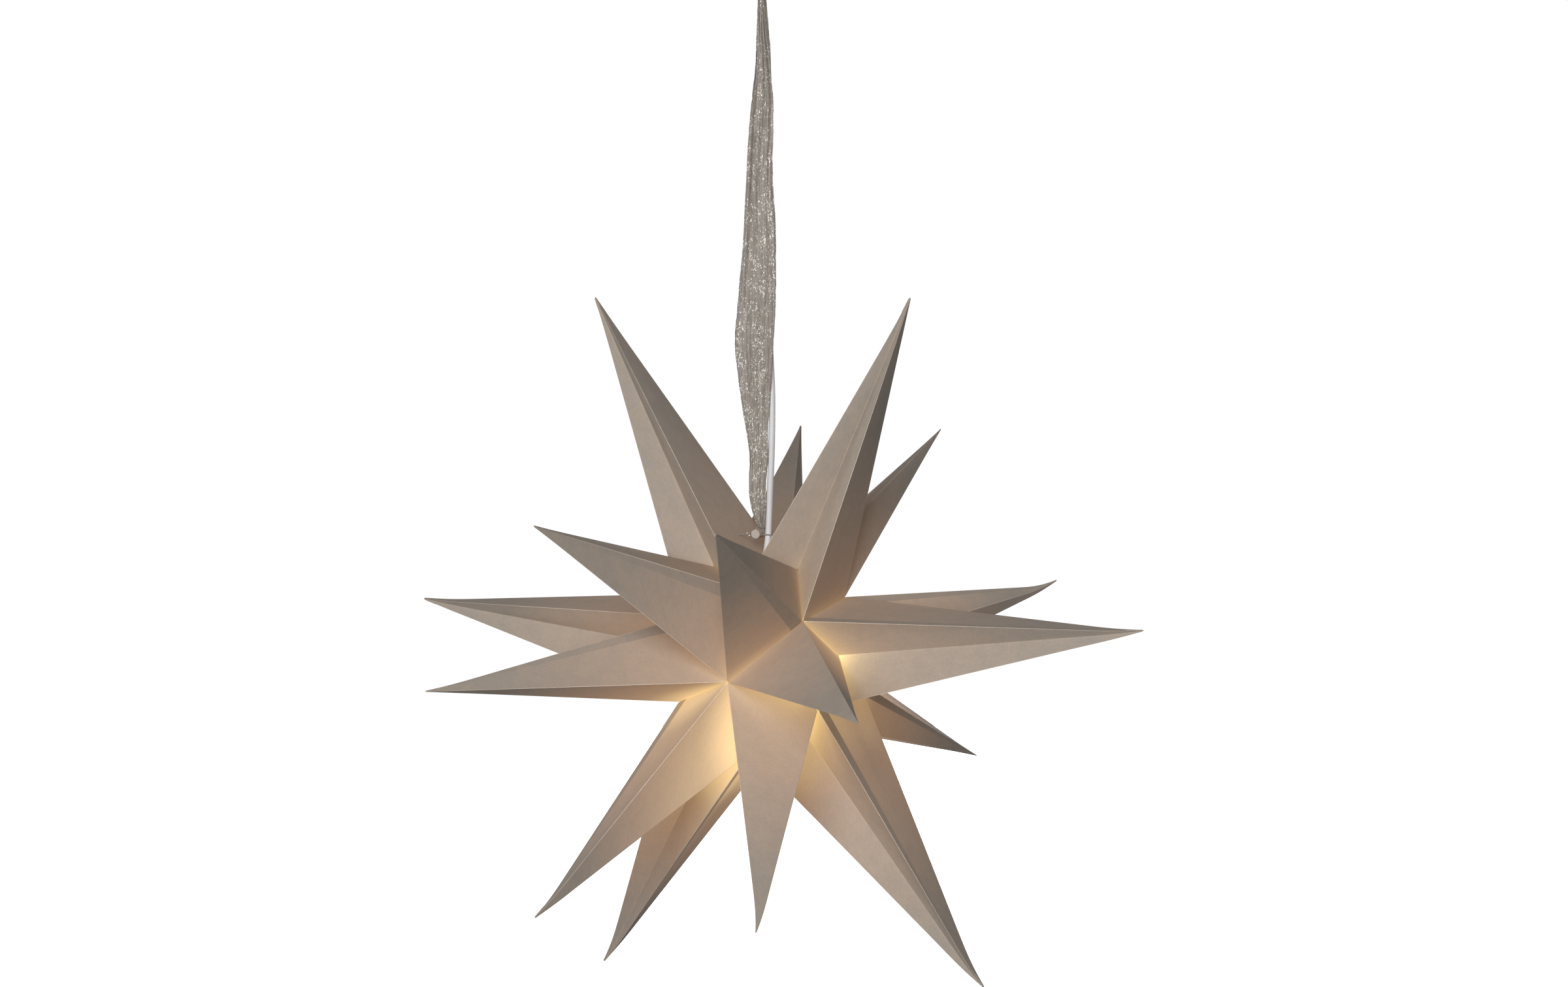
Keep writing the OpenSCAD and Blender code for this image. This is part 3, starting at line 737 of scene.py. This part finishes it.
# Ribbon
# The ribbon's two edges as seen from the front, from the peg up: height over the star's centre,
# left edge and right edge
EDGES = np.array([
    (101.2, -6.8, -3.2), (103.5, -8.9, -2.9), (107, -10.6, -1.9), (113, -12.6, -1.9), (118, -14.0, -0.7),
    (121, -14.9, -1.3), (137, -15.5, -1.5), (153, -14.1, 0.6), (163, -15.1, 0.7), (175, -17.0, 0.6),
    (190, -19.8, 1.5), (213, -23.2, 3.1), (237, -26.3, 5.2), (247, -26.6, 6.1), (277, -23.9, 7.2),
    (290, -22.8, 7.1), (302, -21.2, 6.9), (315, -19.9, 6.5), (340, -18.4, 5.5), (350, -17.8, 4.4),
    (362, -16.8, 3.9), (386, -15.4, 4.1), (398, -14.5, 4.9), (409, -13.7, 5.0), (428, -11.3, 5.4),
    (448, -8.9, 3.3), (480, -8.5, 0.0), (506, -7.9, -1.7), (518, -7.7, -1.8)])
FLAT_W = 36.0
heights = np.linspace(EDGES[0, 0], EDGES[-1, 0], 330)
left = np.interp(heights, EDGES[:, 0], EDGES[:, 1])
right = np.interp(heights, EDGES[:, 0], EDGES[:, 2])
blur = np.exp(-0.5 * (np.arange(-9, 10) / 4.0) ** 2)
blur /= blur.sum()


def softened(values):
    wide = np.concatenate([np.full(9, values[0]), values, np.full(9, values[-1])])
    return np.convolve(wide, blur, "valid")


wobble = np.cumsum(rng.normal(0, 0.16, (2, len(heights))), axis=1)
wobble -= np.array([softened(softened(w)) for w in wobble])
left = softened(left) + wobble[0] * 0.5
right = softened(right) + wobble[1] * 0.5
middle_y = np.interp(heights, [101, 108, 130, 190, 260, 360, 470, 520],
                     [0.6, -1.3, -1.7, -1.5, -1.2, -0.8, -0.4, 0.0])
COLUMNS = 97


def pleated(count, widths, limit, seed):
    """Depths across a gathered band, with as many pleats as its width leaves cloth for."""
    picked = np.random.default_rng(seed)
    s = np.linspace(0, 1, COLUMNS)
    shifts = picked.uniform(0, 2 * math.pi, 4)
    depths = np.zeros((count, COLUMNS))
    for r in range(count):
        along = r / count
        slack = FLAT_W / max(widths[r], 1)
        folded = math.sqrt(max(slack ** 2 - 1, 0.02))
        pleats = 2.2 + 0.25 * slack
        size = min(folded * widths[r] / (4 * pleats), limit[r])
        warp = s + 0.05 * np.sin(2 * math.pi * s * 1.3 + shifts[0] + 7 * along)
        wave = np.sin(2 * math.pi * pleats * warp + shifts[1] + 4.5 * along)
        wave = wave + 0.35 * np.sin(2 * math.pi * pleats * 2.3 * warp + shifts[2] - 6 * along)
        wave = wave + 0.12 * np.sin(2 * math.pi * 9 * s + shifts[3] + 40 * along)
        depths[r] = size * wave / 1.25
    return depths


limit = np.interp(heights, [101, 108, 130, 190, 260, 420, 480, 520],
                  [1.3, 1.0, 0.95, 1.1, 1.7, 2.0, 2.2, 2.4])
depth = pleated(len(heights), right - left, limit, 3)
points = []
for r, z in enumerate(heights):
    for c in range(COLUMNS):
        x = left[r] + (right[r] - left[r]) * c / (COLUMNS - 1)
        points.append(STAR + vec(x, middle_y[r] + depth[r, c], z))
faces, kinds = [], []
for r in range(len(heights) - 1):
    for c in range(COLUMNS - 1):
        a = r * COLUMNS + c
        faces.append((a, a + 1, a + COLUMNS + 1, a + COLUMNS))
        kinds.append(1 if c < 2 or c > COLUMNS - 4 else 0)
ribbon = mesh_piece("ribbon_band", points, faces, [ribbon_cloth, ribbon_edge], kinds)
skin = ribbon.modifiers.new("cloth", "SOLIDIFY")
skin.thickness = 0.15 * MM
skin.offset = 0
finish_piece(ribbon, "ribbon", "ribbon")

PEG_AT = vec(-2.914, 0, -492.48)
HOOK_LOW, LOOP_R = -48.0, 2.45
KNOT_AT = vec(0, 0, -68.5)


def gathered_strand(name, line, widths, thick, across, pleats, seed):
    """A bunched strand of the ribbon along a path, wide along one direction."""
    picked = np.random.default_rng(seed)
    line = np.array(line, float)
    sides = 40
    shift = picked.uniform(0, 2 * math.pi, 2)
    points = []
    for r, (p, t) in enumerate(zip(line, directions(line))):
        wide = unit(across - (across @ t) * t)
        deep = np.cross(t, wide)
        for i in range(sides):
            a = 2 * math.pi * i / sides
            ripple = 1 + 0.16 * math.sin(pleats * a + shift[0] + 0.12 * r)
            ripple += 0.08 * math.sin(2.3 * pleats * a + shift[1])
            points.append(p + widths[r] / 2 * math.cos(a) * wide * (0.94 + 0.06 * ripple)
                          + thick[r] / 2 * math.sin(a) * deep * ripple)
    piece = mesh_piece(name, points, ring_faces(len(line), sides), [ribbon_cloth])
    return finish_piece(clean(piece, 80), "ribbon")


# the loop over the hook's ring
arc = [vec(0, LOOP_R * math.cos(a), HOOK_LOW + LOOP_R * math.sin(a)) for a in np.linspace(0, math.pi, 17)]
leg = [vec(0, 1.6, KNOT_AT[2] + 2), vec(0, 2.3, KNOT_AT[2] + 7), vec(0, 2.5, HOOK_LOW - 6)]
loop_line = smooth_path([*leg, *arc, *[p * vec(1, -1, 1) for p in reversed(leg)]], 0.8)
share = np.linspace(0, 1, len(loop_line))
loop_w = 4.6 + 0.5 * np.sin(share * 9)
gathered_strand("ribbon_loop", loop_line, loop_w, np.full(len(loop_line), 0.95), vec(1, 0, 0), 9, 4)

# the knot: a bunched core with two turns drawn round it
core = [KNOT_AT + vec(0, 0, z) for z in np.linspace(-4.2, 4.2, 15)]
fat = np.sqrt(np.maximum(1 - (np.linspace(-1, 1, 15) * 0.86) ** 2, 0))
gathered_strand("ribbon_knot", core, 7.4 * fat, 6.6 * fat, vec(1, 0, 0), 11, 5)


def turn(name, at, radius, tilt, r_wide, r_deep, axis, seed):
    """One tight turn of bunched ribbon."""
    line = []
    for a in np.linspace(0, 2 * math.pi, 61):
        if axis == "z":
            p = vec(radius * math.cos(a), radius * 0.92 * math.sin(a), tilt * math.cos(a))
        else:
            p = vec(radius * math.cos(a), tilt * math.cos(a + 0.6), radius * math.sin(a))
        line.append(at + p)
    across = vec(0, 0, 1) if axis == "z" else vec(0, 1, 0)
    count = len(line)
    return gathered_strand(name, line, np.full(count, r_wide), np.full(count, r_deep), across, 7, seed)


turn("ribbon_knot_turn_1", KNOT_AT + vec(0, 0, 1.2), 3.3, 1.0, 3.2, 1.7, "z", 6)
turn("ribbon_knot_turn_2", KNOT_AT + vec(0, 0, -1.1), 3.25, -1.2, 3.0, 1.6, "z", 8)
turn("ribbon_peg_turn_1", PEG_AT + vec(0, 2.4, 0), 4.0, 0.25, 2.0, 0.7, "y", 9)
turn("ribbon_peg_turn_2", PEG_AT + vec(0, 3.8, 0), 4.0, -0.25, 1.9, 0.65, "y", 10)

# Peg and tie wire
PEG_R, PEG_L = 3.6, 13.0
half = PEG_L / 2
peg_edge = [(0, 0.12), (1.2, 0.03), (PEG_R - 0.7, 0), (PEG_R - 0.25, 0.1), (PEG_R, 0.5)]
peg_outline = [(r, h - half) for r, h in peg_edge] + [(PEG_R, -3), (PEG_R - 0.04, 0), (PEG_R, 3)]
peg_outline += [(r, half - h) for r, h in reversed(peg_edge)]
points, faces = lathe(peg_outline, PEG_AT, 48, "y")
peg = mesh_piece("peg_wood", points, faces, [peg_side, peg_end])
clean(peg, 35)
for f in peg.data.polygons:
    f.material_index = 1 if abs(f.normal.y) > 0.6 else 0
finish_piece(peg, "peg", "peg")

WIRE_Y, WALL_X, WIRE_PAST, WIRE_BEND = -1.0, 21.13, 4.0, 5.0
tilt = math.radians(-TILT)
V_RIGHT = vec(math.cos(tilt), 0, -math.sin(tilt))
V_UP = vec(math.sin(tilt), 0, math.cos(tilt))
wire_mid = STAR + V_UP * 96.4


def at_v(x, y, z):
    return wire_mid + V_RIGHT * x + vec(0, y, 0) + V_UP * z


strands = []
for phase in (0, math.pi):
    line = []
    for x in np.arange(-WALL_X - WIRE_PAST, WALL_X + WIRE_PAST + 0.01, 0.25):
        a = 2 * math.pi * x / 2.6 + phase
        sag = 0.25 * math.sin(x * 0.35)
        line.append(at_v(x, WIRE_Y + 0.27 * math.cos(a), sag + 0.27 * math.sin(a)))
    reach = WALL_X + WIRE_PAST
    spread = 0.5 if phase else -0.5
    down = [at_v(reach + 0.2, WIRE_Y + spread * s, -WIRE_BEND * s) for s in (0.3, 0.6, 1.0)]
    up = [at_v(-reach - 0.2, WIRE_Y - spread * s, -WIRE_BEND * s) for s in (1.0, 0.6, 0.3)]
    strands.append(smooth_path([*up, *line, *down], 0.4))
twisted = joined([tube(line, 0.25, 8) for line in strands])
# the strands' bare loose ends stand out beside the peg
loose = []
for shift, ends in ((-9.3, ((-2.6, -1.4, 1.6), (-2.2, -0.9, -1.9), (1.4, -1.6, 1.9))),
                    (9.4, ((1.6, -1.2, 1.2), (-1.2, -1.5, -1.5)))):
    for x, y, z in ends:
        line = smooth_path([at_v(shift, WIRE_Y, 0), at_v(shift + 0.4 * x, WIRE_Y + 0.6 * y, 0.5 * z),
                            at_v(shift + x, WIRE_Y + y, z)], 0.4)
        loose.append(tube(line, 0.34, 8))
points, faces = joined([twisted, *loose])
kinds = [1] * len(twisted[1]) + [0] * (len(faces) - len(twisted[1]))
twist = mesh_piece("tie_wire_twist", points, faces, [wire_metal, wire_sleeve], kinds)
finish_piece(twist, "wire", "tie_wire")

# Ceiling cup
CUP_R, CUP_H, WALL, ROUND = 35.0, 25.0, 1.8, 8.0


def round_corner(cx, cy, r, start, end):
    return [(cx + r * math.cos(math.radians(a)), cy + r * math.sin(math.radians(a)))
            for a in np.linspace(start, end, 10)]


cover_outline = [(CUP_R - WALL, -1.0), (CUP_R - 0.3, -1.0), (CUP_R, -1.3)]
cover_outline += round_corner(CUP_R - ROUND, -CUP_H + ROUND, ROUND, 0, -90)
cover_outline += [(2.6, -CUP_H), (2.6, -CUP_H + WALL)]
cover_outline += round_corner(CUP_R - ROUND, -CUP_H + ROUND, ROUND - WALL, -90, 0)
cover = mesh_piece("cup_cover", *lathe(cover_outline, vec(0, 0, 0), 96), [white_plastic])
finish_piece(clean(cover), "cup", "ceiling_cover")
grip_outline = [(2.62, -27), (6.6, -27), (7, -26.6), (7, -25.05), (5, -25.05), (5, -19), (2.62, -19)]
grip = mesh_piece("cord_grip", *lathe(grip_outline, vec(0, 14, 0), 48), [white_plastic])
finish_piece(clean(grip), "cup", "cover_grip")

HOOK_R, HOOK_WIRE = 9.0, 1.5
hook_mid = vec(0, 0, -39)
turns = np.radians(np.linspace(0, -300, 91))
ring_line = [hook_mid + HOOK_R * vec(math.sin(a), 0, math.cos(a)) for a in turns]
radii = [HOOK_WIRE] * (len(ring_line) - 2) + [HOOK_WIRE * 0.85, HOOK_WIRE * 0.5]
collar = [(0, -25.02), (5.3, -25.02), (5.5, -25.2), (5.5, -26.8), (5.3, -27), (0, -27)]
hook_parts = joined([
    tube(ring_line, radii, 24),
    tube([vec(0, 0, -27), vec(0, 0, -28.5), vec(0, 0, -30)], HOOK_WIRE, 24),
    lathe(collar, vec(0, 0, 0), 48),
    tube([vec(0, 0, z) for z in (-25, -20, -15, -9)], 2.0, 24)])
finish_piece(clean(mesh_piece("hook_ring", *hook_parts, [chrome])), "hook", "ceiling_hook")

for node, material in {
        "ceiling_plate": white_plastic, "terminal_block": block_plastic, "holder_cap": white_plastic,
        "holder_grip": white_plastic, "holder_shell": white_plastic, "contact_base": ceramic,
        "screw_sleeve": brass, "centre_contact": brass, "bulb": bulb_glass}.items():
    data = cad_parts[node].data
    data.materials.clear()
    data.materials.append(material)


# Floor, world and lights
def seen_rays(tree):
    """1 for rays that show the background: from the camera, off a mirror or through glass."""
    path = tree.nodes.new("ShaderNodeLightPath")
    seen = path.outputs["Is Camera Ray"]
    for name in ("Is Glossy Ray", "Is Transmission Ray"):
        either = tree.nodes.new("ShaderNodeMath")
        either.operation = "MAXIMUM"
        tree.links.new(seen, either.inputs[0])
        tree.links.new(path.outputs[name], either.inputs[1])
        seen = either.outputs[0]
    return seen


FLOOR_Z, FLOOR_HALF = -1500.0, 9000
FLOOR_GREY = vec(0.22, 0.22, 0.22)
ROOM_LIGHT = 0.035
n = Nodes("floor_pale")
fleck = n.noise(3, 3)
n.set(Base_Color=n.scaled(FLOOR_GREY, n.span(fleck, 0.3, 0.7, 0.98, 1.02)), Roughness=0.9,
      Specular_IOR_Level=0.1)
glow = n.add("ShaderNodeEmission")
glow.inputs["Color"].default_value = (1, 1, 1, 1)
n.put(glow.inputs["Strength"], seen_rays(n.tree))
both = n.add("ShaderNodeAddShader")
n.put(both.inputs[0], n.shader.outputs["BSDF"])
n.put(both.inputs[1], glow.outputs["Emission"])
n.put(n.tree.nodes["Material Output"].inputs["Surface"], both.outputs["Shader"])
corners = [(x * FLOOR_HALF, y * FLOOR_HALF, FLOOR_Z) for x, y in ((-1, -1), (1, -1), (1, 1), (-1, 1))]
floor = mesh_piece("floor", corners, [(0, 1, 2, 3)], [n.material], smooth=False)

world = bpy.data.worlds.new("world")
bpy.context.scene.world = world
world.use_nodes = True
tree = world.node_tree
back = tree.nodes["Background"]
back.inputs["Color"].default_value = (1, 1, 1, 1)
spread = tree.nodes.new("ShaderNodeMapRange")
spread.inputs["To Min"].default_value = ROOM_LIGHT
spread.inputs["To Max"].default_value = 1.0
tree.links.new(seen_rays(tree), spread.inputs["Value"])
tree.links.new(spread.outputs["Result"], back.inputs["Strength"])


def area_light(name, direction, distance, size, share):
    """A soft square lamp that adds that share of plain light to a face turned to it."""
    data = bpy.data.lights.new(name, "AREA")
    data.shape = "SQUARE"
    data.size = size
    data.energy = share * (math.pi * distance) ** 2
    lamp = bpy.data.objects.new(name, data)
    way = unit(vec(*direction))
    lamp.location = STAR * MM + way * distance
    lamp.rotation_euler = Vector(way).to_track_quat("Z", "Y").to_euler()
    bpy.context.scene.collection.objects.link(lamp)


area_light("key", (0.22, -0.90, 0.38), 3.2, 1.4, 1.14)
area_light("left_fill", (-0.85, -0.50, 0.1), 3.4, 1.8, 0.05)
# The last lamp lights only what is turned away from the photo's camera, for the other views
area_light("back_key", (-0.376, 0.893, -0.16), 3.2, 1.0, 0.75)

bpy.context.scene.view_settings.view_transform = "Standard"
